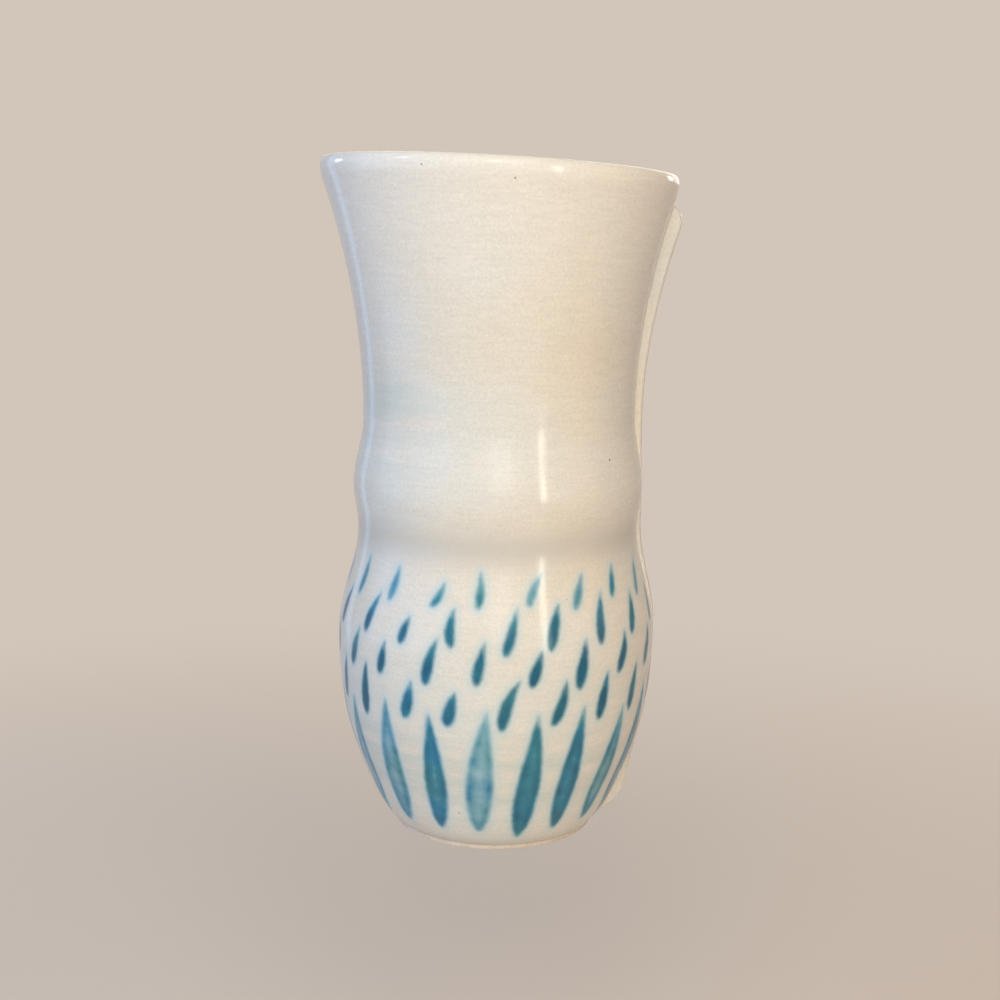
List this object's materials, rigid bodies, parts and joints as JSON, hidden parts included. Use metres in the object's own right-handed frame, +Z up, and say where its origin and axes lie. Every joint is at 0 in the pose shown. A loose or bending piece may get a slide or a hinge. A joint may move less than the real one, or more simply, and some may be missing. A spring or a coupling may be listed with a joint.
{
  "type": "hanging wall vase",
  "caption": "Thrown ceramic vase with a flared mouth, sliced flat along its back and luted to a slab; a keyhole in the slab drops over a screw in a wall plug.",
  "frame": {"origin": "the point where the hanging screw's axis meets the wall", "axes": "+Z up, +Y into the wall along the screw, the front of the vase faces -Y, +X to the right of someone facing it"},
  "size_m": [0.1077, 0.0959, 0.2022],
  "materials": {
    "cream_glaze": "glossy cream glaze with teal brushwork under it",
    "inner_glaze": "glossy clear glaze over clay",
    "bare_stoneware": "bare fired clay",
    "zinc_steel": "zinc plated",
    "grey_nylon": "moulded"
  },
  "bodies": {
    "plug": {"wall_plug": "grey_nylon"},
    "screw": {"hanging_screw": "zinc_steel"},
    "vase": {"thrown_wall": "cream_glaze", "back_slab": "cream_glaze", "base_slab": "bare_stoneware", "left_seam_coil": "inner_glaze", "right_seam_coil": "inner_glaze", "floor_seam_coil": "inner_glaze"}
  },
  "joints": [
    {"name": "sway", "type": "hinge", "parent": "plug", "child": "screw", "pos_m": [0, 0, 0], "axis": [0, 1, 0], "range_deg": [-30, 30]},
    {"name": "lift", "type": "slide", "parent": "screw", "child": "vase", "axis": [0, 0, 1], "range_m": [0, 0.01]}
  ]
}
